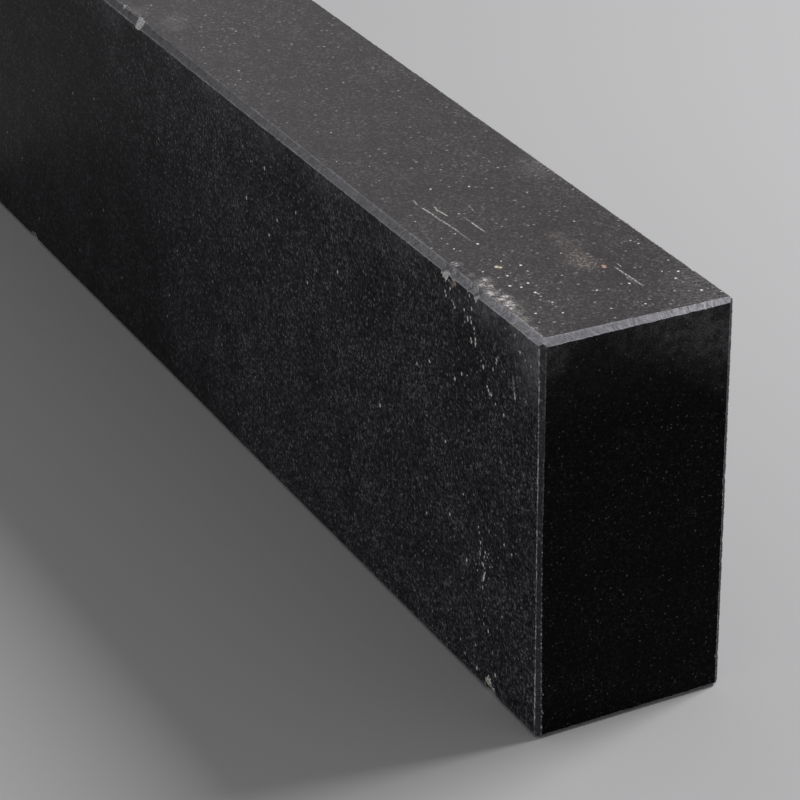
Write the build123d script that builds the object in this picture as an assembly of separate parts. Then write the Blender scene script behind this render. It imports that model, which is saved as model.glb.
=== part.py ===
from build123d import *
import os

# A straight curb stone of polished black granite, in millimetres. One bar is sawn from the block
# and stands on edge on its narrow bed. Every arris is then ground off at 45 degrees, so three
# ground strips meet in a mitre at each corner.
# +X runs along the stone, +Y across it from front to back and +Z up, and the origin is the middle
# of the bed.

# Sawn bar
LENGTH = 700.0
WIDTH = 97.0
HEIGHT = 200.0

# Legs of the ground arrises, measured along the two faces that meet there
TOP_LONG_ARRIS = 3.2
TOP_END_ARRIS = 3.0
FRONT_UPRIGHT_ARRIS = 2.3
BACK_UPRIGHT_ARRIS = 2.0
BED_LONG_ARRIS = 2.2
BED_END_ARRIS = 2.2


def ground_outline(plane, low, high, low_leg, high_leg):
    """A rectangle on the plane from corner low to corner high, with both corners on its low side
    cut at 45 degrees by low_leg and both corners on its high side by high_leg."""
    (left, bottom), (right, top) = low, high
    corners = [
        (left + low_leg, bottom),
        (right - low_leg, bottom),
        (right, bottom + low_leg),
        (right, top - high_leg),
        (right - high_leg, top),
        (left + high_leg, top),
        (left, top - high_leg),
        (left, bottom + low_leg),
    ]
    return plane * make_face(Polyline(corners, close=True))


def curb_stone():
    """The bar is what its cross section, its side elevation and its plan have in common when each
    is carried through the block: each arris is one ground plane, and three meet at each corner."""
    half_length = LENGTH / 2
    half_width = WIDTH / 2
    section = ground_outline(
        Plane.YZ, (-half_width, 0), (half_width, HEIGHT), BED_LONG_ARRIS, TOP_LONG_ARRIS)
    elevation = ground_outline(
        Plane.XZ, (-half_length, 0), (half_length, HEIGHT), BED_END_ARRIS, TOP_END_ARRIS)
    plan = ground_outline(
        Plane.XY,
        (-half_length, -half_width),
        (half_length, half_width),
        FRONT_UPRIGHT_ARRIS,
        BACK_UPRIGHT_ARRIS,
    )
    along = extrude(section, half_length, both=True)
    across = extrude(elevation, half_width, both=True)
    upward = extrude(plan, HEIGHT)
    return along & across & upward


os.makedirs("parts", exist_ok=True)
export_step(curb_stone(), "parts/curb_stone.step")
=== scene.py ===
import functools
import math

import bpy
import numpy as np
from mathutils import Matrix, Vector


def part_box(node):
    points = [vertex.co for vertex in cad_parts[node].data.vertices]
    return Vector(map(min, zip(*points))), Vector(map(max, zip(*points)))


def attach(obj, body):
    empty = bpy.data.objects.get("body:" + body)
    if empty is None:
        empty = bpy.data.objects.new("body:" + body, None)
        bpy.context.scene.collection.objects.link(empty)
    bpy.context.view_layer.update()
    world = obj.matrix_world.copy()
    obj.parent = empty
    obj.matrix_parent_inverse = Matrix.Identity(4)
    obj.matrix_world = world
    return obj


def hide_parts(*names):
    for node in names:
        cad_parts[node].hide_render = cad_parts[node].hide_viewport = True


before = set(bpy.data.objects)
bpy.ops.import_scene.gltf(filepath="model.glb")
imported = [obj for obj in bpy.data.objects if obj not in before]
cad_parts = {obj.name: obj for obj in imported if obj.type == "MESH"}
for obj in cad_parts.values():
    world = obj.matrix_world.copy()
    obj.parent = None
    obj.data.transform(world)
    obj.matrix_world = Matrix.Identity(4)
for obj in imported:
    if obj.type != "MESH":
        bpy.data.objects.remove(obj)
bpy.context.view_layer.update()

# Shape of the curb stone
# One bar of fine black granite, sawn from the block, that stands on its narrow bed. Each of its
# twelve arrises is ground off to a narrow strip, a little uneven as hand grinding leaves it, and
# three strips meet in a mitre at each corner. Knocks have left nicks and chips along the strips.

MM = 0.001
X, Y, Z = 0, 1, 2
stone_low, stone_high = (np.array(corner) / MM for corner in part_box("curb_stone"))

# A strip is named by the axis that it follows and the side that it lies on along the next two axes.
# Its widths on the face across the last of these axes come first, then its widths on the other face,
# each at even steps from its low to its high end, in millimetres.
STRIP_WIDTHS = {
    (X, -1, +1): (
        (2.8, 2.8, 2.9, 3.0, 3.7),
        (3.3, 3.4, 3.5, 3.6, 3.8, 3.9, 4.0, 4.0, 3.85, 3.5, 3.3, 3.2, 3.0, 2.35, 2.2),
    ),
    (X, +1, +1): ((3.1, 2.6), (3.0, 2.8)),
    (X, -1, -1): ((2.1, 2.3), (2.3, 2.0)),
    (X, +1, -1): ((2.2, 2.2), (2.0, 2.4)),
    (Y, +1, +1): ((2.6, 2.6, 2.7, 2.8, 2.82), (4.0, 3.35, 2.4, 1.45, 0.8)),
    (Y, +1, -1): ((1.9, 2.0), (2.2, 2.3)),
    (Y, -1, +1): ((2.1, 2.0), (2.4, 2.1)),
    (Y, -1, -1): ((2.2, 2.0), (2.2, 2.4)),
    (Z, +1, -1): ((2.6, 2.25, 2.1, 1.6, 1.95), (2.8, 2.15, 1.88, 2.5, 3.0)),
    (Z, +1, +1): ((2.1, 2.0), (2.5, 2.6)),
    (Z, -1, -1): ((2.3, 2.1), (2.2, 2.4)),
    (Z, -1, +1): ((2.0, 1.9), (1.9, 2.1)),
}

# How pale each strip is, from 0 for black, at even steps along it: the grinding's paleness, with painted
# shade that keeps the uprights and the strips round the bed darker
STRIP_TONES_AND_SHADE = {
    (X, -1, +1): (
        0.23, 0.23, 0.23, 0.24, 0.25, 0.26, 0.28, 0.315, 0.37, 0.385, 0.385, 0.40, 0.39, 0.445, 0.43),
    (X, +1, +1): (0.24, 0.35),
    (X, -1, -1): (0.075, 0.075),
    (X, +1, -1): (0.075, 0.075),
    (Y, +1, +1): (0.32, 0.35, 0.47, 0.77, 0.92),
    (Y, +1, -1): (0.015, 0.015),
    (Y, -1, +1): (0.35, 0.42),
    (Y, -1, -1): (0.04, 0.04),
    (Z, +1, -1): (0.060, 0.057, 0.048, 0.053, 0.074),
    (Z, +1, +1): (0.050, 0.068),
    (Z, -1, -1): (0.065, 0.07),
    (Z, -1, +1): (0.11, 0.13),
}

# Chips, each by its place along the strip, half its length, how far it runs on past the strip on the
# first and on the second face, and its hollow, in millimetres. A hollow below 0 is the shallow scar
# of a flake, which lies less deep than the strip's own plane.
STRIP_CHIPS = {
    (X, -1, +1): [
        (265.4, 3.3, 0.1, 2.4, 0.14),
        (272.8, 1.8, 0.1, 0.9, 0.10),
        (294.0, 1.7, 0.1, 2.5, 0.14),
        (286.9, 0.9, 0.1, 0.9, 0.10),
        (-81.5, 5.0, 1.5, 0.9, 0.12),
        (-94.0, 2.0, 0.8, 0.1, 0.10),
        (-105.0, 2.8, 1.1, 0.1, 0.15),
    ],
    (X, -1, -1): [
        (306.8, 3.3, 0.2, 6.8, -0.70),
        (310.8, 4.2, 0.2, 2.8, -0.35),
        (294.0, 1.3, 0.1, 1.4, 0.00),
        (-263.0, 6.0, 0.4, 1.8, 0.35),
    ],
    (X, +1, +1): [(118.0, 2.6, 0.5, 0.7, 0.15), (-214.0, 1.8, 0.4, 0.6, 0.10)],
    (X, +1, -1): [(-160.0, 4.0, 0.3, 0.8, 0.20), (236.0, 2.5, 0.3, 0.7, 0.15)],
    (Z, +1, -1): [(22.0, 0.9, 0.2, 0.9, 0.05), (12.0, 1.2, 0.1, 0.7, 0.05)],
    (Z, -1, +1): [(62.0, 2.4, 0.7, 0.5, 0.15)],
}

# The run past the strip from which a chip shows fresh stone all over, the run up to which its edge
# grows more torn, how torn that is as a share of the run, over how many stations it changes, and the
# power that fills out the chip
CHIP_FULL = 1.5
TORN_MOST = 2.0
TORN_SHARE = 0.4
TORN_REACH = 3
CHIP_POWER = 0.6

# Small nicks at random, one for each spacing: half their length in millimetres, then how far at most
# they run past the strip and how hollow they are, as shares of that half
NICK_SPACING = 22.0
NICK_HALF = (0.5, 1.3)
NICK_PAST = 0.28
NICK_HOLLOW = (0.03, 0.10)

# How much the widths waver, over how many stations they do, and how rough the ground plane is, in
# millimetres
WAVER = 0.07
WAVER_FINE, WAVER_LONG = 2, 11
PLANE_ROUGH = 0.03

# Where grinding has left a corner point proud of its mitre: how deep it lies along the three axes, in
# millimetres, by the sides that the corner lies on
PROUD_CORNERS = {(+1, -1, +1): (1.0, 1.5, 1.0)}

# Millimetres from station to station, rows across a strip, the length over which the unevenness grows
# and the lift of a proud corner runs out, and the share of that length that stays even by a corner
STATION = 0.5
ROWS = 8
CORNER_FADE = 7.0
FADE_START = 0.5
SEED = 20
draw = np.random.default_rng(SEED)


def ragged(count, reach):
    """Random numbers of unit spread, one a station, each a bell-weighted sum over reach of them."""
    bell = np.hanning(reach + 2)[1:-1]
    bell = bell / np.sqrt((bell ** 2).sum())
    return np.convolve(draw.standard_normal(count + reach - 1), bell, "valid")


def end_widths(strip, side):
    """The two widths of a strip at its low end, for side -1, or at its high end, for side +1."""
    return [widths[-1 if side > 0 else 0] for widths in STRIP_WIDTHS[strip]]


def mitre(strip, side_k):
    """Where a strip stops at one end: how far across it the corner point lies, how deep that point is as
    a share of the strip's depth there, and how far in from the end of the stone the strip stops on its
    first face, at the corner point and on its second face. The corner point is where the planes of the
    three strips that meet there cross, so the share is 1, unless it is one of the proud corners."""
    axis, side_i, side_j = strip
    i, j = (axis + 1) % 3, (axis + 2) % 3
    width_a, width_b = end_widths(strip, side_k)
    next_a, next_b = end_widths((i, side_j, side_k), side_i)
    last_a, last_b = end_widths((j, side_k, side_i), side_j)
    planes = [[1 / width_a, 1 / width_b, 0], [0, 1 / next_a, 1 / next_b], [1 / last_b, 0, 1 / last_a]]
    in_i, in_j, in_k = np.linalg.solve(planes, np.ones(3))
    sides = {axis: side_k, i: side_i, j: side_j}
    corner = (sides[X], sides[Y], sides[Z])
    if corner in PROUD_CORNERS:
        depths = PROUD_CORNERS[corner]
        in_i, in_j, in_k = depths[i], depths[j], depths[axis]
    share = in_i / width_a + in_j / width_b
    return in_j / (width_b * share), share, (next_b, in_k, last_a)


def chip_bumps(along, place, half):
    """A bump of height 1 on each place along a strip: a parabola that is half long each way, to a power
    that fills it out, for all the stations (rows) and all the places (columns) at once."""
    return np.clip(1 - ((along[:, None] - place) / half) ** 2, 0, None) ** CHIP_POWER


def even_steps(u, values):
    """The values, spread evenly from 0 to 1, at each u, on straight lines between them."""
    return np.interp(u, np.linspace(0, 1, len(values)), values)


def ground_strip(strip):
    """One ground strip as stations along it by rows across it: its points, how far along the stone and
    how far across the strip each of them lies, how far in a chip it is, and how pale it is.
    A point lies on the arris, moved in along the first face by the first width times 1 - v and along
    the second face by the second width times v, where v goes from 0 to 1 across the strip. The widths
    change along the strip, waver, and grow at each nick and chip, which is also hollowed by its hollow
    times 1 - (2v - 1)^2. Towards a proud corner the middle of the strip is lifted. No point is moved out
    past the faces, and at its ends the strip is cut to the mitre lines."""
    axis, side_i, side_j = strip
    i, j = (axis + 1) % 3, (axis + 2) % 3
    length = stone_high[axis] - stone_low[axis]
    count = int(length / STATION)
    u = np.linspace(0, 1, count)
    plain_along = stone_low[axis] + u * length
    from_end = np.minimum(u, 1 - u) * length
    fade = np.clip(from_end / CORNER_FADE - FADE_START, 0, 1)

    nicks = int(length / NICK_SPACING)
    nick_place = draw.uniform(stone_low[axis], stone_high[axis], nicks)
    nick_half = draw.uniform(*NICK_HALF, nicks)
    nick_a, nick_b = draw.uniform(0, NICK_PAST, (2, nicks)) * nick_half
    nick_hollow = draw.uniform(*NICK_HOLLOW, nicks) * nick_half
    chips = np.array(STRIP_CHIPS.get(strip, [])).reshape(-1, 5)
    place, half, past_a, past_b, hollow = np.concatenate(
        [np.stack([nick_place, nick_half, nick_a, nick_b, nick_hollow], 1), chips]).T
    bumps = chip_bumps(plain_along, place, half) * fade[:, None]

    widths_a, widths_b = STRIP_WIDTHS[strip]
    waver_a, waver_b = (
        (WAVER * ragged(count, WAVER_FINE) + WAVER * ragged(count, WAVER_LONG)) * fade for _ in range(2))
    torn_a, torn_b = (
        np.clip(bumps @ past + TORN_SHARE * ragged(count, TORN_REACH) * (bumps @ np.minimum(past, TORN_MOST)),
                0, None)
        for past in (past_a, past_b))
    width_a = even_steps(u, widths_a) + waver_a + torn_a
    width_b = even_steps(u, widths_b) + waver_b + torn_b

    v_low, share_low, stops_low = mitre(strip, -1)
    v_high, share_high, stops_high = mitre(strip, +1)
    w = np.linspace(0, 1, ROWS + 1)
    v_mid = (v_low + (v_high - v_low) * u)[:, None]
    v = np.where(w <= 0.5, 2 * w * v_mid, v_mid + (2 * w - 1) * (1 - v_mid))
    in_low = np.interp(w, [0, 0.5, 1], stops_low)
    in_high = np.interp(w, [0, 0.5, 1], stops_high)
    along = stone_low[axis] + in_low + u[:, None] * (length - in_low - in_high)
    near_low = np.clip(1 - u * length / CORNER_FADE, 0, 1)
    near_high = np.clip(1 - (1 - u) * length / CORNER_FADE, 0, 1)
    proud = (1 - share_low) * near_low + (1 - share_high) * near_high
    lift = proud[:, None] * (1 - abs(2 * w - 1))
    scoop = (bumps @ hollow)[:, None] * (1 - (2 * v - 1) ** 2)
    rough = PLANE_ROUGH * draw.standard_normal(v.shape) * fade[:, None] * (w > 0) * (w < 1)

    points = np.empty((count, ROWS + 1, 3))
    edge_i = stone_high[i] if side_i > 0 else stone_low[i]
    edge_j = stone_high[j] if side_j > 0 else stone_low[j]
    depth_i = width_a[:, None] * (1 - v - lift * (1 - v_mid)) + scoop + rough
    depth_j = width_b[:, None] * (v - lift * v_mid) + scoop + rough
    points[..., axis] = along
    points[..., i] = edge_i - side_i * np.maximum(0, depth_i)
    points[..., j] = edge_j - side_j * np.maximum(0, depth_j)
    chip_a = bumps @ np.minimum(1, past_a / CHIP_FULL)
    chip_b = bumps @ np.minimum(1, past_b / CHIP_FULL)
    chip = np.clip(chip_a[:, None] * (1 - v) + chip_b[:, None] * v, 0, 1)
    tone = np.broadcast_to(even_steps(u, STRIP_TONES_AND_SHADE[strip])[:, None], v.shape)
    across = np.broadcast_to(w, v.shape)
    return points, along, across, chip, tone


strips = {strip: ground_strip(strip) for strip in STRIP_WIDTHS}
numbers = {}
first = 0
for strip, layers in strips.items():
    stations, rows = layers[0].shape[:2]
    numbers[strip] = first + np.arange(stations * rows).reshape(stations, rows)
    first += stations * rows
all_points = np.concatenate([layers[0].reshape(-1, 3) for layers in strips.values()])
all_along, all_across, all_chips, all_tones = (
    np.concatenate([layers[k].ravel() for layers in strips.values()]) for k in range(1, 5))


def strip_quads(strip):
    """The quads between neighbouring stations and rows of a strip, turned so that they face outwards."""
    n = numbers[strip]
    quads = np.stack([n[:-1, :-1], n[1:, :-1], n[1:, 1:], n[:-1, 1:]], -1).reshape(-1, 4)
    return quads if strip[1] * strip[2] > 0 else quads[:, ::-1]


def face_ring(axis, side):
    """The outline of the flat face across an axis on one side: the inner lines of the four strips round
    it, in order, turned so that the face points outwards."""
    a, b = (axis + 1) % 3, (axis + 2) % 3
    ring = np.concatenate([
        numbers[a, -1, side][:-1, 0],
        numbers[b, side, +1][:-1, -1],
        numbers[a, +1, side][:0:-1, 0],
        numbers[b, side, -1][:0:-1, -1],
    ])
    return ring if side > 0 else ring[::-1]


# Points of two strips that agree to so many digits of a millimetre are one point
MERGE_DIGITS = 4

quads = np.concatenate([strip_quads(strip) for strip in strips])
rings = [face_ring(axis, side) for axis in (X, Y, Z) for side in (-1, +1)]
_, keep, merged = np.unique(
    np.round(all_points, MERGE_DIGITS), axis=0, return_index=True, return_inverse=True)
merged = merged.ravel()
faces = merged[quads].tolist() + [merged[ring].tolist() for ring in rings]
mesh = bpy.data.meshes.new("curb_stone_dressed")
mesh.from_pydata((all_points[keep] * MM).tolist(), [], faces)

ENDS, TOP, FRONT, BACK, GROUND, BED = range(6)
ring_slots = [ENDS, ENDS, FRONT, BACK, BED, TOP]
mesh.polygons.foreach_set("material_index", [GROUND] * len(quads) + ring_slots)
corners = np.concatenate([quads.ravel(), *rings])
on_strip = np.arange(len(corners)) < quads.size
strip_map = mesh.uv_layers.new(name="strip")
strip_map.uv.foreach_set("vector", np.stack([all_along[corners] * MM, all_across[corners]], 1).ravel())
chip_share = mesh.attributes.new("chip", "FLOAT", "CORNER")
chip_share.data.foreach_set("value", all_chips[corners] * on_strip)
tone_share = mesh.attributes.new("tone", "FLOAT", "CORNER")
tone_share.data.foreach_set("value", all_tones[corners] * on_strip)
mesh.validate()
stone = bpy.data.objects.new("curb_stone_dressed", mesh)
bpy.context.scene.collection.objects.link(stone)

# Granite of the curb stone, and its polished ends
# The stone is a fine black granite: a near black ground mass, a dense felt of dark grey laths about a
# millimetre long, and a few white grains. Its two ends are polished to a mirror. Their fainter laths and
# grains and blacker ground are partly the deep polish and partly painted shade, so they look the blackest.
# A thin film of dust, with a painted sheen as a painted reflection, lies on the upper part of the near end.


class Wire:
    """One output of a node. Sums, products, powers and comparisons of wires and numbers add Math nodes."""

    def __init__(self, tree, socket=None):
        self.tree = tree
        self.socket = socket

    def node(self, kind, settings, sockets, output=0):
        """Adds a node of this kind: its settings are set first, then its sockets get values or wires."""
        made = self.tree.nodes.new(kind)
        for name, setting in settings.items():
            setattr(made, name, setting)
        for name, given in sockets.items():
            if isinstance(given, Wire):
                self.tree.links.new(given.socket, made.inputs[name])
            else:
                made.inputs[name].default_value = given
        return Wire(self.tree, made.outputs[output])

    def other(self, output):
        """Another output of the same node."""
        return Wire(self.tree, self.socket.node.outputs[output])

    def math(self, operation, *given):
        """A Math node for this operation on the given wires and numbers."""
        return self.node("ShaderNodeMath", {"operation": operation}, dict(enumerate(given)))

    def __add__(self, other):
        return self.math("ADD", self, other)

    def __sub__(self, other):
        return self.math("SUBTRACT", self, other)

    def __rsub__(self, other):
        return self.math("SUBTRACT", other, self)

    def __mul__(self, other):
        return self.math("MULTIPLY", self, other)

    def __pow__(self, other):
        return self.math("POWER", self, other)

    def __gt__(self, other):
        return self.math("GREATER_THAN", self, other)

    def __abs__(self):
        return self.math("ABSOLUTE", self)

    __radd__ = __add__
    __rmul__ = __mul__

    def most(self, other):
        """The larger of two values."""
        return self.math("MAXIMUM", self, other)

    def ramp(self, low, high, at_low, at_high):
        """at_low up to low, at_high from high on, and a smooth step between them."""
        sockets = {"From Min": low, "From Max": high, "To Min": at_low, "To Max": at_high}
        return self.node(
            "ShaderNodeMapRange", {"interpolation_type": "SMOOTHSTEP"}, {"Value": self, **sockets})

    def rise(self, low, high):
        """A smooth step from 0 at low to 1 at high."""
        return self.ramp(low, high, 0.0, 1.0)

    def fall(self, low, high):
        """A smooth step from 1 at low to 0 at high."""
        return self.ramp(low, high, 1.0, 0.0)

    def split(self):
        """The x, y and z of these coordinates."""
        x = self.node("ShaderNodeSeparateXYZ", {}, {0: self})
        return x, x.other("Y"), x.other("Z")

    def squeezed(self, factors):
        """These coordinates, each times its own factor."""
        return self.node("ShaderNodeVectorMath", {"operation": "MULTIPLY"}, {0: self, 1: factors})

    def turned(self, turn, size):
        """These coordinates on axes that are turned by these angles, in radians, in units of that size."""
        sockets = {"Vector": self, "Rotation": turn, "Scale": size}
        return self.node("ShaderNodeMapping", {"vector_type": "TEXTURE"}, sockets)

    def noise(self, scale, detail=2.0, roughness=0.5, output=0):
        """Soft random noise round 0.5 on these coordinates, scale waves to a millimetre."""
        sockets = {"Vector": self, "Scale": scale, "Detail": detail, "Roughness": roughness}
        return self.node("ShaderNodeTexNoise", {}, sockets, output)

    def warped(self, scale, reach):
        """These coordinates moved by noise, at most by half of reach millimetres to each side."""
        push = self.noise(scale, 1.0, output="Color")
        half = (-reach / 2, -reach / 2, -reach / 2)
        back = self.node("ShaderNodeVectorMath", {"operation": "ADD"}, {0: self, 1: half})
        sockets = {0: push, 1: (reach, reach, reach), 2: back}
        return self.node("ShaderNodeVectorMath", {"operation": "MULTIPLY_ADD"}, sockets)

    def cells(self, scale):
        """Random cells on these coordinates, scale of them to a millimetre: how far off the middle of its
        cell a place lies, and a random number for each cell, with a second one as its output Green."""
        gap = self.node("ShaderNodeTexVoronoi", {}, {"Vector": self, "Scale": scale})
        return gap, self.node("ShaderNodeSeparateColor", {}, {"Color": gap.other("Color")})

    def off(self, centre):
        """How far these coordinates lie off a centre."""
        return self.node("ShaderNodeVectorMath", {"operation": "DISTANCE"}, {0: self, 1: centre}, "Value")

    def spots(self, centres, core=0.45):
        """The strongest of several round spots on these coordinates, each given by its centre and its
        radius: 1 up to core times the radius, falling to 0 at the radius."""
        return strongest(self.off(centre).fall(core * radius, radius) for centre, radius in centres)

    def between(self, start, end):
        """The colour that lies this share of the way from one colour to another."""
        return self.node("ShaderNodeMix", {"data_type": "RGBA"}, {0: self, 6: start, 7: end}, 2)

    def tint(self, share, colour):
        """This colour, with that share of another mixed in."""
        return share.between(self, colour)


def strongest(wires):
    """The largest of several values."""
    return functools.reduce(Wire.most, wires)


BLACK_GRAIN = (0.0030, 0.0030, 0.0036, 1)
WHITE_GRAIN = (0.350, 0.342, 0.386, 1)
PLAIN_GRAIN = (0.355, 0.347, 0.345, 1)

# Laths and needles: how each layer of them is turned, in radians, and their sizes in millimetres
LATH_TURNS = [(0, 1.1, 0.8), (0, -0.5, 2.4), (0, 0.2, 1.2)]
LATH_SIZE = (2.2, 1.1, 1.1)
NEEDLE_TURNS = [(0, 1.05, 0), (0, 1.40, 0)]
NEEDLE_SIZE = (5.0, 1.0, 0.8)

# Waves of noise, and cells, to a millimetre
SPECKLE = 1.1
PATCHES = 0.035
LATH_CELLS = 0.8
BRIGHT_CELLS = 0.22

# Noise at the edge and in the middle of a lath and of a needle
LATH_NOISE = (0.48, 0.78)
NEEDLE_NOISE = (0.67, 0.80)

# How pale the darkest laths are, what the palest have more, and what every place has more at most
LATH_DARK = 0.045
LATH_MORE = 0.27
MASS_MORE = 0.014

# The random number from which a cell has a white grain, how pale the faintest of them is and what the
# palest has more, and how far off the middle of its cell a grain begins and stops to fade, in cells
WHITE_FROM = 0.55
WHITE_FAINT = 0.06
WHITE_MORE = 0.9
WHITE_FADE = (0.14, 0.34)
BRIGHT_FADE = (0.09, 0.21)


class Granite:
    """A material of this stone with its shader, its coordinates in millimetres (place, x, y, z), fine
    noise (speckle), how pale its grains are from 0 for black to 1 for white (tone), and its colour, which
    goes from ground to pale with that tone. The laths are made paler by the factor felt and the white
    grains by the factor white, and grains is how many cells of white grains go to a millimetre."""

    def __init__(
            self, name, polish, ground=BLACK_GRAIN, pale=WHITE_GRAIN, felt=1.0, white=1.0, grains=0.36):
        self.material = bpy.data.materials.new(name)
        self.material.use_nodes = True
        tree = self.material.node_tree
        self.shader = tree.nodes["Principled BSDF"]
        self.shader.inputs["Specular IOR Level"].default_value = polish
        own = Wire(tree).node("ShaderNodeTexCoord", {}, {}, "Object")
        sockets = {0: own, "Scale": 1 / MM}
        self.place = own.node("ShaderNodeVectorMath", {"operation": "SCALE"}, sockets)
        self.x, self.y, self.z = self.place.split()
        self.speckle = self.place.noise(SPECKLE)
        self.tone = self.laths(felt).most(self.white_grains(white, grains))
        self.colour = self.tone.between(ground, pale)

    def laths(self, pale):
        """Noise drawn out two to one in three directions, each as pale as the random cell that it lies
        in, and paler in some patches than in others."""
        felt = strongest(
            self.place.turned(turn, LATH_SIZE).noise(1.0).rise(*LATH_NOISE) for turn in LATH_TURNS)
        _, kind = self.place.warped(1.1, 1.0).cells(LATH_CELLS)
        patches = self.place.noise(PATCHES, 5.0, 0.62).ramp(0.28, 0.72, 0.6, 1.4)
        return (felt * (LATH_DARK + LATH_MORE * kind ** 2.0) + MASS_MORE * kind) * patches * pale

    def needles(self):
        """Sparse noise drawn out six to one, close to upright: the longest laths, cut lengthwise."""
        longest = strongest(
            self.place.turned(turn, NEEDLE_SIZE).noise(1.0, 1.0).rise(*NEEDLE_NOISE) for turn in NEEDLE_TURNS)
        return longest * self.place.noise(0.15).ramp(0.35, 0.65, 0.25, 1.2)

    def white_grains(self, pale, scale):
        """The middles of some larger random cells, a few of them much paler than the others."""
        gap, kind = self.place.warped(0.9, 1.2).cells(scale)
        paleness = WHITE_FAINT + WHITE_MORE * kind.other("Green") ** 3.0
        return (kind > WHITE_FROM) * gap.fall(*WHITE_FADE) * paleness * pale

    def bright_grains(self, share):
        """The middles of that share of some still larger random cells, from faint to the palest."""
        gap, kind = self.place.warped(0.9, 1.6).cells(BRIGHT_CELLS)
        paleness = kind.other("Green").ramp(0.0, 1.0, 0.15, 1.0)
        return (kind > 1 - share) * gap.fall(*BRIGHT_FADE) * paleness

    def finish(self, colour, roughness, height, strength, depth):
        """Puts the colour, the roughness and a bump on the shader: a height from 0 to 1 times the depth in
        metres, shown at that strength. Then it adds the material to the stone, in the order of its slots."""
        sockets = {"Height": height, "Strength": strength, "Distance": depth}
        bump = height.node("ShaderNodeBump", {}, sockets)
        for name, wire in (("Base Color", colour), ("Roughness", roughness), ("Normal", bump)):
            wire.tree.links.new(wire.socket, self.shader.inputs[name])
        mesh.materials.append(self.material)


BLACKEST = (0.0016, 0.0016, 0.0018, 1)
POLISH_DEPTH = 0.00002

# A film of dust with a painted sheen, a painted reflection on the polish: it thickens upwards over a
# slanting band, lies in the front corner, and is thin on the rest of the upper part, all in millimetres.
# Its share is how much of it shows.
DUST_AND_SHEEN = (0.70, 0.70, 0.74, 1)
DUST_AND_SHEEN_SHARE = 0.06
SHEEN_SLANT = 0.52
SHEEN_BAND = (170.0, 208.0)
DUST_AND_SHEEN_CORNER = [((350, -46, 198), 28)]
DUST_AND_SHEEN_WARP = (0.06, 14.0)
UPPER_PART = (150.0, 200.0)
UPPER_SHARE = 0.22

# The ends' faint laths and grains and their blackest ground are partly painted shade.
ends = Granite(
    "polished_ends", polish=0.03, ground=BLACKEST, pale=PLAIN_GRAIN, felt=0.13, white=0.28, grains=0.62)
near_end = ends.x > 0
drifting = ends.place.warped(*DUST_AND_SHEEN_WARP)
_, drift_y, drift_z = drifting.split()
# The slanting band is mostly painted sheen, a painted reflection on the polished end, with dust in it.
sheen_band = (drift_z + SHEEN_SLANT * drift_y).rise(*SHEEN_BAND) * near_end
front_corner = drifting.spots(DUST_AND_SHEEN_CORNER, core=0.0)
upper = ends.z.rise(*UPPER_PART) * near_end
mottled = ends.speckle.ramp(0.3, 0.7, 0.4, 1.4) * ends.place.noise(0.25, 3.0).ramp(0.3, 0.7, 0.5, 1.4)
dust_and_sheen = sheen_band.most(front_corner).most(upper * UPPER_SHARE) * mottled
ends.finish(
    colour=ends.colour.tint(dust_and_sheen * DUST_AND_SHEEN_SHARE, DUST_AND_SHEEN),
    roughness=0.16 + 0.08 * ends.speckle,
    height=ends.speckle, strength=0.1, depth=POLISH_DEPTH)

# Top of the curb stone
# The top is rubbed to a satin finish. Other stones have scratched it along its length and scuffed it
# by the front arris, and it carries dust, a brown stain and grains of rust and ochre.

DUST = (0.78, 0.76, 0.72, 1)
SCUFF = (0.68, 0.635, 0.62, 1)
STAIN = (0.34, 0.29, 0.255, 1)
RUST = (0.42, 0.25, 0.19, 1)
OCHRE = (0.64, 0.59, 0.42, 1)
TOP_BLACK = (0.0056, 0.0028, 0.0047, 1)
TOP_GLOSS = (1.0, 0.90, 0.96, 1)
top_z = float(stone_high[Z])

# Start and end of each scratch (x, y), half its width and how strongly it shows
TOP_SCRATCHES = [
    ((201, -28.3), (217, -26.6), 0.65, 0.7),
    ((213, -27.4), (223, -26.6), 0.75, 0.6),
    ((218, -26.8), (235, -25.5), 0.65, 0.7),
    ((228, -25.9), (247, -25.5), 0.60, 0.3),
    ((193, -27.4), (200, -28.5), 0.60, 0.6),
    ((204, -22.3), (211, -23.5), 0.75, 0.6),
    ((208, -23.1), (218, -21.7), 0.70, 0.7),
    ((217, -16.2), (230, -15.7), 0.55, 0.3),
    ((225, -15.9), (242, -15.1), 0.65, 0.8),
    ((209, -7.7), (220, -9.1), 0.50, 0.35),
    ((296, 20.3), (302, 19.9), 0.50, 0.6),
    ((299, 17.3), (313, 17.7), 0.65, 0.7),
    ((307, 17.8), (324, 18.5), 0.65, 0.7),
    ((310, 16.5), (319, 17.0), 0.45, 0.5),
    ((316, -44.8), (352, -44.6), 0.80, 0.4),
    ((222, -45.4), (262, -45.4), 0.60, 0.25),
    ((60, 45.6), (348, 45.8), 0.45, 0.6),
]
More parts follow.
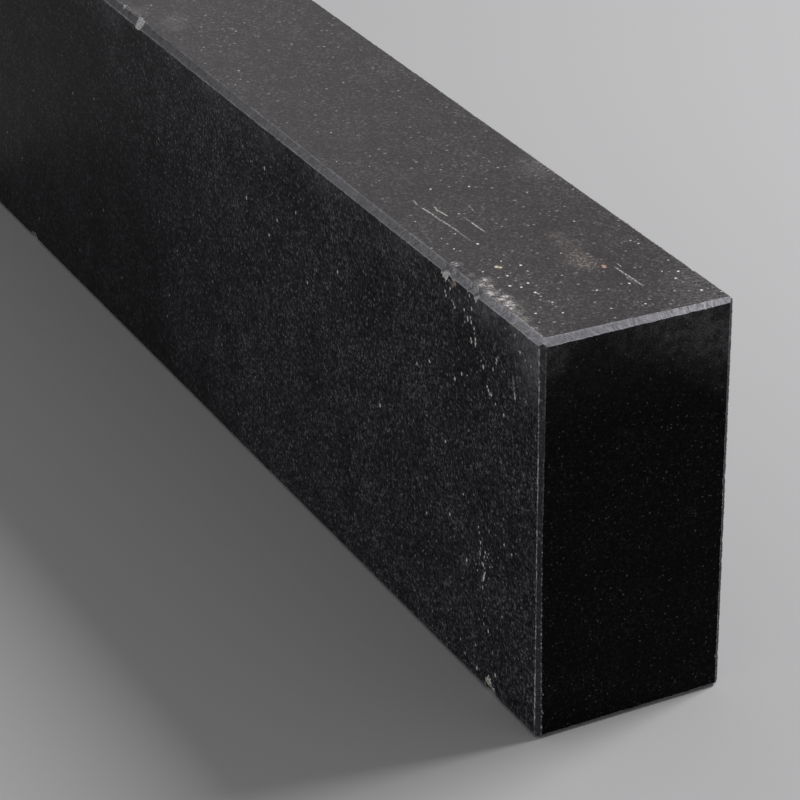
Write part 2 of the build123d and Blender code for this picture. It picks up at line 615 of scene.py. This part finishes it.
# Places (x, y) and radii
TOP_DUST = [
    (278.6, -18.2, 0.95), (285.3, -18.4, 0.5), (296.1, -24.3, 0.75), (305.8, -26.2, 0.9), (310.2, -26, 0.5),
    (317.8, -24.6, 0.75), (328.9, -25.7, 0.75), (285.3, -28.7, 0.85), (294.7, -32.7, 0.9), (285, -33.1, 0.6),
    (323.9, -36.2, 0.7), (249.8, -24.2, 0.75), (249.4, -36.2, 0.6), (243.3, -36.2, 0.55), (215, -37.6, 0.5),
    (186.4, -14.8, 0.7), (192.2, 2.4, 0.6), (211, 23, 0.5), (249.4, 26, 0.5), (283.9, 39.3, 0.75),
    (279.4, 37.7, 0.55), (317.2, 39.6, 0.85), (322.8, 34.9, 0.8), (338.3, 38.4, 0.9), (313.9, 33.2, 0.6),
    (333.3, 27.7, 0.5), (317.4, 14.3, 0.8), (338.3, 9.9, 0.65), (316.7, -1.6, 0.6), (335, -5.3, 0.55),
    (298.3, -29, 0.7), (276.5, -36.3, 0.6), (217, -16.3, 0.6), (235.6, -28, 0.6), (237, -35.8, 0.5),
]
TOP_SCUFFS = [
    (261.6, -43.6, 0.8), (263.4, -42.3, 0.9), (265.6, -43.9, 0.8), (284.2, -39.3, 1.6), (290.8, -39.8, 1.4),
    (288, -43.3, 1.5), (296.5, -44, 2.3), (298.6, -43.6, 1.5), (303, -39.6, 2.2), (305, -42.6, 2.0),
    (308.5, -40.8, 1.9), (311, -43, 2.0), (314.8, -43, 1.6), (312, -41, 1.5),
]
TOP_GRAZES = [
    (264, -43, 4), (277, -42.5, 3), (285, -40, 6), (290, -42, 5.5), (297, -43, 6), (304, -41.5, 7),
    (311, -42, 7), (319, -43.5, 6), (327, -44, 5.5), (336, -44.5, 4.5),
]
TOP_STAIN = [(292, 8.5, 9), (286, 6.5, 10), (281, 8, 8)]
TOP_STAIN_FADED = [(276, 9.5, 9), (267, 10.5, 9), (259, 11, 7)]
TOP_RUST = [(296.6, 13.6, 1.3), (297.9, 13.2, 1.3)]
TOP_OCHRE = [(275.0, -28.4, 1.4), (276.4, -27.2, 1.1)]
TOP_POWDER = [(300, -30, 44), (262, -36, 30), (332, 40, 26), (300, 42, 16), (200, 40, 20)]
TOP_VEIL = [
    (345, 42, 34), (330, 44, 24), (188, 44, 22), (182, 42, 14), (310, -46, 16), (290, -46, 12),
    (-72, -31, 13), (-62, -34, 9), (-95, -46, 12),
]
TOP_BLOOM = [(300, -26, 52), (255, -36, 40)]

# How the coordinates of broken and of crumbly marks are warped, and how the scraped noise is drawn out
TORN_WARP = (0.35, 5.0)
CRUMBLY_WARP = (1.3, 1.1)
SCRAPE_TURN = (0, 0, 1.13)
SCRAPE_SIZE = (4.0, 0.9, 1.0)

# Cells of powder to a millimetre, the random number from which a cell has powder, and how much lower
# that is where more has settled
POWDER_CELLS = 0.55
POWDER_FROM = 0.98
POWDER_MORE = 0.16

# How much shows of the faded stain, of the veil of dust and of the faint bloom, which also thins out
# from the front to the back of the top
FADED_SHARE = 0.5
VEIL_SHARE = 0.14
BLOOM_SHARE = 0.008
BLOOM_SPOTS = 0.5
FRONT_TO_BACK = (-46.0, 40.0)


def scratch(along, across, start, end, half_width):
    """1 on a scratch that is straight from start to end, falling to 0 at its edges and at its ends."""
    slope = (end[1] - start[1]) / (end[0] - start[0])
    off = abs(across - (along * slope + (start[1] - slope * start[0])))
    half = abs(end[0] - start[0]) / 2
    from_middle = abs(along - (start[0] + end[0]) / 2)
    return off.fall(0.2 * half_width, half_width) * from_middle.fall(0.5 * half, half)


def on_top(marks):
    """Centres and radii of marks on the top."""
    return [((x, y, top_z), radius) for x, y, radius in marks]


top = Granite("satin_top", polish=0.15, ground=TOP_BLACK, pale=PLAIN_GRAIN, felt=1.03, white=0.75)
torn = top.place.warped(*TORN_WARP)
crumbly = top.place.warped(*CRUMBLY_WARP)
scraped = top.place.turned(SCRAPE_TURN, SCRAPE_SIZE).noise(1.0, 3.0)
mottled = (scraped + top.speckle).rise(0.90, 1.20)
bloom = BLOOM_SPOTS * top.place.spots(on_top(TOP_BLOOM), core=0.0) + top.y.fall(*FRONT_TO_BACK)
faded = torn.spots(on_top(TOP_STAIN_FADED), core=0.0)
stain = torn.spots(on_top(TOP_STAIN), core=0.0).most(faded * FADED_SHARE)
veil = torn.spots(on_top(TOP_VEIL), core=0.0)
grazes = torn.spots(on_top(TOP_GRAZES), core=0.0)
scuffs = crumbly.spots(on_top(TOP_SCUFFS), core=0.2)
dust = crumbly.spots(on_top(TOP_DUST))
rust = crumbly.spots(on_top(TOP_RUST))
ochre = crumbly.spots(on_top(TOP_OCHRE))
lines = strongest(
    scratch(top.x, top.y, start, end, half_width) * share for start, end, half_width, share in TOP_SCRATCHES)
gap, kind = crumbly.cells(POWDER_CELLS)
powdery = torn.spots(on_top(TOP_POWDER), core=0.0)
powder = gap.fall(0.10, 0.32) * (kind + POWDER_MORE * powdery > POWDER_FROM) * kind.other("Green") ** 1.5

colour = top.colour.tint(bloom * BLOOM_SHARE, DUST)
colour = colour.tint(stain * (0.04 + 0.62 * top.place.noise(0.75, 4.0).rise(0.44, 0.66)), STAIN)
colour = colour.tint(veil * mottled * VEIL_SHARE, DUST)
colour = colour.tint(grazes * (0.04 + 0.4 * mottled), SCUFF)
colour = colour.tint(scuffs * (0.2 + 0.8 * top.speckle.rise(0.40, 0.60)), SCUFF)
colour = colour.tint(lines * top.speckle.rise(0.36, 0.62), DUST)
colour = colour.tint(powder.most(dust), DUST)
colour = colour.tint(rust, RUST)
colour = colour.tint(ochre, OCHRE)
worn = lines.most(dust).most(scuffs)
top.finish(
    colour=colour,
    roughness=0.30 + 0.14 * top.speckle + 0.25 * worn,
    height=top.speckle, strength=0.12, depth=POLISH_DEPTH)
top.shader.inputs["Specular Tint"].default_value = TOP_GLOSS

# Front and back of the curb stone
# The two sides have the same satin finish as the top, and show the longest laths, cut lengthwise. The
# front has a broken pale vein, white grains, a faint smear and an iron stain towards its near end, and
# a haze of dust along its upper edge that is thickest in the near corner.

HAZE = (0.195, 0.195, 0.212, 1)
VEIN_WHITE = (0.88, 0.865, 0.84, 1)
IRON_STAIN = (0.70, 0.53, 0.47, 1)
front_y, back_y = float(stone_low[Y]), float(stone_high[Y])

# Places (x, depth below the top) and radii
FRONT_GRAINS = [
    (286.6, 4.4, 0.7), (288.8, 10, 0.9), (268.9, 8.6, 0.8), (264, 11.9, 0.8), (265, 13.6, 0.8),
    (281.9, 13.4, 0.8), (285, 16, 0.85), (285.2, 17, 0.85), (287.6, 14.9, 0.6), (288.4, 16.8, 0.85),
    (291, 18.7, 0.8), (291.3, 20.9, 0.5), (292.2, 23.6, 0.95), (292.2, 25.6, 0.95), (292.1, 26.7, 0.6),
    (288.1, 25.1, 0.75), (288.8, 26.4, 0.75), (282.5, 19.2, 0.55), (299.5, 33.8, 0.95), (297.5, 31.8, 0.5),
    (303.1, 41.9, 0.7), (304.2, 43.3, 0.8), (305.6, 44.2, 0.7), (306.9, 44.4, 0.7), (311.6, 24.9, 0.8),
    (312.8, 23.2, 0.5), (311.1, 26.8, 0.6), (308.3, 31.1, 0.8), (318.1, 49, 0.8), (310.6, 47.2, 0.5),
    (327.8, 5.8, 0.6), (319, 6.4, 0.4), (332.2, 12.2, 0.7), (336.8, 13.9, 0.55), (341.6, 14.7, 0.55),
    (328, 36, 0.8), (327.6, 34.5, 0.6), (337.5, 33.5, 0.6), (279.4, 46.3, 0.9), (273.1, 51.6, 0.9),
    (284.7, 44.7, 0.5), (270.6, 13.9, 0.5), (271.9, 14.9, 0.6), (273.2, 15.9, 0.7), (263.8, 88, 0.8),
    (248.5, 53.8, 0.8), (236.3, 60.6, 0.8), (284, 140.2, 0.95), (304.6, 167.1, 0.85), (311.4, 187.1, 1.0),
    (293.8, 193, 1.1), (282.3, 191.3, 0.65), (292.5, 181.1, 0.65), (267.7, 124.1, 0.8), (244.8, 135, 0.75),
    (319.1, 114.1, 0.75), (326, 115.6, 0.6), (317.4, 152.6, 0.6), (280.8, 107, 0.65), (278, 185.9, 0.6),
    (260.6, 4.2, 0.6), (262.2, 5.4, 0.7), (267.8, 5.2, 0.6), (264.4, 6.6, 0.6), (52, 50, 1.0), (75, 25, 0.9),
    (78, 60, 0.9), (88, 48, 0.8), (110, 35, 0.8), (155, 48, 0.9), (121, 68, 0.8), (198, 100, 1.0),
]
FRONT_VEIN = [
    (297.3, 124.1, 0.8), (296.8, 129.2, 0.6), (296.9, 130.5, 0.6), (301.6, 127.1, 0.7), (300.7, 129.8, 0.7),
    (299.8, 134.4, 1.0), (300.9, 138.7, 0.9), (300.5, 140.2, 1.1), (299.9, 141.8, 1.0), (294.3, 140.2, 0.55),
    (299.3, 146.2, 0.55), (300.4, 158.3, 0.5), (300.4, 165.3, 0.6), (295.3, 117, 0.6), (296, 119.4, 0.6),
    (297.2, 127.2, 0.5), (303.6, 128.6, 0.55), (304.6, 126.4, 0.5), (302.2, 130.8, 0.45), (306, 132.6, 0.5),
    (308.4, 131, 0.4), (298.7, 134, 0.6), (301.2, 135.4, 0.5), (301.8, 137.4, 0.5), (298.6, 143.2, 0.5),
    (299.2, 147.4, 0.45), (300.4, 161.4, 0.4), (292.8, 137.6, 0.5), (294.6, 150.4, 0.4), (305.4, 113.8, 0.45),
]
FRONT_HAZE = [(352, 4, 42), (332, 2, 24), (301, 1, 20)]
FRONT_IRON = [(272.8, 4.4, 2.3), (270.9, 5.9, 1.9)]
BACK_GRAINS = [
    (-212, 33, 1.1), (-208, 36.5, 0.9), (-150, 88, 1.0), (-96, 21, 1.0), (-61, 140, 1.1), (-20, 63, 0.9),
    (44, 112, 1.0), (87, 30, 1.1), (90, 33, 0.9), (151, 155, 1.0), (205, 71, 1.0), (262, 18, 1.1),
]
# Start and end (z, x) and half the width of the smear
FRONT_SMEAR = ((175.5, 325.8), (161.0, 328.6), 1.2)

# The front's grains are drawn out upright by this squeeze, and made narrower
GRAIN_SQUEEZE = (1.0, 1.0, 0.6)
GRAIN_NARROW = 0.88

# Painted shade: where the felt of laths grows from thin to full, along a line that leans by the slant,
# and how full it is there, and how full it is from the bed to the top, painted to even out the light
PAINTED_SHADE_SLANT = 0.5
PAINTED_SHADE_TO_FULL = (-110.0, 110.0, 0.36, 0.97)
PAINTED_SHADE_BED_TO_TOP = (0.0, 200.0, 1.06, 0.90)

# Heights of the haze along the upper edge and of the pale lip along the lower edge, and where along
# the stone that lip sets in
UPPER_EDGE = (176.0, 198.0)
LOWER_LIP = (2.6, 4.0)
LIP_SETS_IN = (60.0, 300.0)

CORNER_HAZE_SHARE = 0.66
EDGE_HAZE_SHARE = 0.31
LIP_SHARE = 0.3
SMEAR_SHARE = 0.35
IRON_SHARE = 0.8
NEEDLE_SHARE = 0.6
BRIGHT_SHARE = 0.05


def on_side(side_y, marks):
    """Centres and radii of marks on the front or the back."""
    return [((x, side_y, top_z - depth), radius) for x, depth, radius in marks]


# The front's laths and white grains are paler than the top's: partly their own paleness, partly painted light
# that offsets the shade on the front.
front = Granite("satin_front", polish=0.03, felt=2.1, white=2.4)
# Painted shade: the front is painted darker towards its far end, and paler low down and darker high up
# against the light.
painted_shade_felt = (front.x + PAINTED_SHADE_SLANT * front.z).ramp(*PAINTED_SHADE_TO_FULL) * front.z.ramp(*PAINTED_SHADE_BED_TO_TOP)
crumbly = front.place.warped(*CRUMBLY_WARP)
drifting = front.place.warped(0.06, 18.0)
long_grains = [
    (np.multiply(centre, GRAIN_SQUEEZE).tolist(), GRAIN_NARROW * radius)
    for centre, radius in on_side(front_y, FRONT_GRAINS + FRONT_VEIN)]
grains = crumbly.squeezed(GRAIN_SQUEEZE).spots(long_grains)
corner_haze = drifting.spots(on_side(front_y, FRONT_HAZE), core=0.0)
edge_haze = front.z.rise(*UPPER_EDGE) * front.place.noise(0.025, 3.0).rise(0.3, 0.7)
haze = (corner_haze * CORNER_HAZE_SHARE).most(edge_haze * EDGE_HAZE_SHARE)
haze = haze * front.speckle.ramp(0.28, 0.72, 0.3, 1.4)
haze = haze * front.place.noise(0.3, 3.0).ramp(0.3, 0.7, 0.55, 1.45)
lip = front.z.fall(*LOWER_LIP) * front.place.noise(0.5).rise(0.40, 0.60) * front.x.rise(*LIP_SETS_IN)
smear = scratch(front.z, front.x, *FRONT_SMEAR) * front.speckle.rise(0.3, 0.6)
iron = crumbly.spots(on_side(front_y, FRONT_IRON), core=0.2) * front.speckle.rise(0.3, 0.6)

colour = painted_shade_felt.between(BLACK_GRAIN, front.colour)
colour = colour.tint(front.needles() * painted_shade_felt * NEEDLE_SHARE, WHITE_GRAIN)
colour = colour.tint(haze.most(lip * LIP_SHARE), HAZE)
colour = colour.tint(front.bright_grains(BRIGHT_SHARE).most(smear * SMEAR_SHARE), DUST)
colour = colour.tint(grains, VEIN_WHITE)
colour = colour.tint(iron * IRON_SHARE, IRON_STAIN)
front.finish(
    colour=colour,
    roughness=0.32 + 0.14 * front.speckle,
    height=front.speckle, strength=0.12, depth=POLISH_DEPTH)

# The back's laths and white grains are paler than the top's: partly their own paleness, partly painted light
# that offsets the shade on the back.
back = Granite("satin_back", polish=0.03, felt=2.0, white=2.4)
grains = back.place.warped(*CRUMBLY_WARP).spots(on_side(back_y, BACK_GRAINS))
colour = back.colour.tint(back.needles() * NEEDLE_SHARE, WHITE_GRAIN)
colour = colour.tint(grains.most(back.bright_grains(BRIGHT_SHARE)), DUST)
back.finish(
    colour=colour,
    roughness=0.32 + 0.14 * back.speckle,
    height=back.speckle, strength=0.12, depth=POLISH_DEPTH)

# Ground strips of the curb stone
# Grinding leaves the granite pale grey and matt, with fine lines across the strip, and the lines where
# it meets the polish break out in paler crumbs. The uprights and the strips round the bed are painted
# darker, as painted shade. A chip shows the rough fresh stone, which is yellower in the flake by the bed.

GROUND_PALE = (0.69, 0.674, 0.726, 1)
CRUMBS = (0.56, 0.55, 0.57, 1)
FRESH_STONE = (0.88, 0.87, 0.87, 1)
FLAKED_STONE = (0.90, 0.88, 0.78, 1)

# Tones over which a strip goes from the dark strips, darkened by painted shade, to the pale ones, and
# over which its crumbs grow fainter
DARK_TONE = (0.15, 0.25)
PALE_TONE = (0.39, 0.48)

# Lines of the grinding: how they lean, how long they are across the strip, and their layer of noise
STROKE_SLANT = 1.6
STROKE_STRETCH = 1.2
STROKE_LAYER = 3.0
STROKE_DEPTH = 0.0001

# Heights that the beads of crumbs on the end side of an upright and the yellower stone stay under, and
# where along the stone the strips of the near end begin
BEADS_UNDER = (85.0, 125.0)
FLAKE_UNDER = (40.0, 60.0)
NEAR_STRIPS = (344.0, 347.0)

# How much shows of the dark lines, of the laths, of the crumbs, and of them more on dark strips. What
# the crumbs lose on the end side of dark strips, but for the beads, and round the near end.
STROKE_SHARE = 0.34
LATH_SHARE = 0.25
CRUMB_SHARE = 0.5
CRUMB_DARK_MORE = 0.48
END_SIDE_LOSS = 0.9
BEAD_SHARE = 0.8
NEAR_LOSS = 0.6

ground = Granite("ground_strips", polish=0.1)
along, across, _ = ground.place.node("ShaderNodeUVMap", {"uv_map": "strip"}, {}).split()
chip = ground.place.node("ShaderNodeAttribute", {"attribute_name": "chip"}, {}, "Fac")
tone = ground.place.node("ShaderNodeAttribute", {"attribute_name": "tone"}, {}, "Fac")
# The tone of the dark strips carries painted shade.
dark_strip = tone.fall(*DARK_TONE)
sockets = {"X": along * (1 / MM) + across * STROKE_SLANT, "Y": across * STROKE_STRETCH, "Z": STROKE_LAYER}
strokes = ground.place.node("ShaderNodeCombineXYZ", {}, sockets).noise(1.4, 4.0)

bead = ground.place.noise(0.8)
beaded = bead.rise(0.53, 0.62) * ground.z.fall(*BEADS_UNDER) * BEAD_SHARE
crumb = abs(across - 0.5).rise(0.28, 0.46) * ground.place.noise(0.45).ramp(0.35, 0.6, 0.35, 1.0)
crumb = crumb * (1 - END_SIDE_LOSS * dark_strip * across * (1 - beaded)) * tone.ramp(*PALE_TONE, 1.0, 0.4)
crumb = crumb * ground.place.noise(0.07).ramp(0.35, 0.65, 0.5, 1.3)
crumb = crumb * (1 - NEAR_LOSS * (1 - dark_strip) * ground.x.rise(*NEAR_STRIPS))
crumb = crumb * (1 - dark_strip + dark_strip * bead.ramp(0.42, 0.60, 0.3, 1.7))

in_chip = chip.rise(0.35, 0.65)
broken = in_chip * (0.3 + 0.7 * ground.place.noise(1.4).rise(0.38, 0.55))
flaked = in_chip * (0.14 + 0.86 * ground.place.noise(0.9, 3.0).rise(0.42, 0.56))

blotched = tone * ground.place.noise(0.3).ramp(0.3, 0.7, 0.84, 1.14)
colour = blotched.between(BLACK_GRAIN, GROUND_PALE)
colour = colour.tint(strokes.fall(0.34, 0.62) * STROKE_SHARE, BLACK_GRAIN)
colour = colour.tint(ground.tone.rise(0.02, 0.25) * LATH_SHARE, WHITE_GRAIN)
colour = colour.tint(crumb * (CRUMB_SHARE + CRUMB_DARK_MORE * dark_strip), CRUMBS)
colour = colour.tint(broken * ground.z.rise(*FLAKE_UNDER), FRESH_STONE)
colour = colour.tint(flaked * ground.z.fall(*FLAKE_UNDER), FLAKED_STONE)
ground.finish(
    colour=colour,
    roughness=0.62 + 0.25 * strokes,
    height=strokes, strength=0.3, depth=STROKE_DEPTH)

# Sawn bed of the curb stone
# The face that the stone stands on is left as the saw leaves it: mid grey, dull, and scored by shallow
# lines along the cut.

SAWN_GREY = (0.105, 0.105, 0.105, 1)
CUT_SQUEEZE = (0.02, 1.0, 1.0)
CUT_SHARE = 0.4
CUT_DEPTH = 0.0003

bed = Granite("sawn_bed", polish=0.2, ground=SAWN_GREY)
cuts = bed.place.squeezed(CUT_SQUEEZE).noise(0.6, 3.0)
bed.finish(
    colour=bed.colour.tint(cuts.rise(0.45, 0.7) * CUT_SHARE, BLACK_GRAIN),
    roughness=0.7 + 0.2 * cuts,
    height=cuts, strength=0.6, depth=CUT_DEPTH)

# The dressed stone belongs to the part's one body and stands for its one node
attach(stone, "root")
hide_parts("curb_stone")

# Studio floor
# A plain pale floor, painted matt, that takes the shadow of the stone. It is wide enough to fill the
# view from every side.

FLOOR_HALF = 12.0
FLOOR_GREY = (0.47, 0.47, 0.478, 1)
FLOOR_ROUGHNESS = 0.9
FLOOR_POLISH = 0.1

floor_mesh = bpy.data.meshes.new("studio_floor")
floor_mesh.from_pydata(
    [(-FLOOR_HALF, -FLOOR_HALF, 0), (FLOOR_HALF, -FLOOR_HALF, 0),
     (FLOOR_HALF, FLOOR_HALF, 0), (-FLOOR_HALF, FLOOR_HALF, 0)], [], [(0, 1, 2, 3)])
floor = bpy.data.objects.new("studio_floor", floor_mesh)
bpy.context.scene.collection.objects.link(floor)
floor_paint = bpy.data.materials.new("floor_paint")
floor_paint.use_nodes = True
floor_shader = floor_paint.node_tree.nodes["Principled BSDF"]
floor_shader.inputs["Base Color"].default_value = FLOOR_GREY
floor_shader.inputs["Roughness"].default_value = FLOOR_ROUGHNESS
floor_shader.inputs["Specular IOR Level"].default_value = FLOOR_POLISH
floor_mesh.materials.append(floor_paint)

# Studio light
# A large soft lamp high up behind the stone, turned to its middle, and an even pale surround that
# fills the shadows. The surround also shows, pale, in the view and in the polish.

LAMP_PLACE = (0.25, 1.70, 1.95)
LAMP_AIM = (0.12, 0.0, 0.12)
LAMP_SIZE = 0.9
LAMP_POWER = 58.0
FILL = 0.32
SURROUND = 0.85
SURROUND_WHITE = (1, 1, 1, 1)

lamp = bpy.data.lights.new("soft_lamp", "AREA")
lamp.shape = "RECTANGLE"
lamp.size = LAMP_SIZE
lamp.size_y = LAMP_SIZE
lamp.energy = LAMP_POWER
lamp_holder = bpy.data.objects.new("soft_lamp", lamp)
bpy.context.scene.collection.objects.link(lamp_holder)
lamp_holder.location = LAMP_PLACE
away = np.array(LAMP_PLACE) - LAMP_AIM
lamp_holder.rotation_euler = (math.acos(away[Z] / np.linalg.norm(away)), 0, math.atan2(away[X], -away[Y]))

world = bpy.data.worlds.new("surround")
world.use_nodes = True
bpy.context.scene.world = world
sky = world.node_tree.nodes["Background"]
path = Wire(world.node_tree).node("ShaderNodeLightPath", {}, {}, "Is Camera Ray")
shows = path.most(path.other("Is Glossy Ray")).most(path.other("Is Transmission Ray"))
strength = FILL + (SURROUND - FILL) * shows
path.tree.links.new(strength.socket, sky.inputs["Strength"])
sky.inputs["Color"].default_value = SURROUND_WHITE

# Camera
# A long lens at the height and angle of the photograph, in front of the near end: its place in metres,
# its turns in degrees, and its focal length and sensor in millimetres.

CAMERA_PLACE = (1.399297, -0.651154, 0.809086)
CAMERA_TURN = (62.27501, 0.60009, 62.64061)
CAMERA_LENS = 144.521
SENSOR = 36.0

camera = bpy.data.cameras.new("camera")
camera.lens = CAMERA_LENS
camera.sensor_width = SENSOR
camera.sensor_fit = "HORIZONTAL"
camera_holder = bpy.data.objects.new("camera", camera)
bpy.context.scene.collection.objects.link(camera_holder)
camera_holder.location = CAMERA_PLACE
camera_holder.rotation_euler = [math.radians(angle) for angle in CAMERA_TURN]
bpy.context.scene.camera = camera_holder
bpy.context.scene.view_settings.view_transform = "Standard"
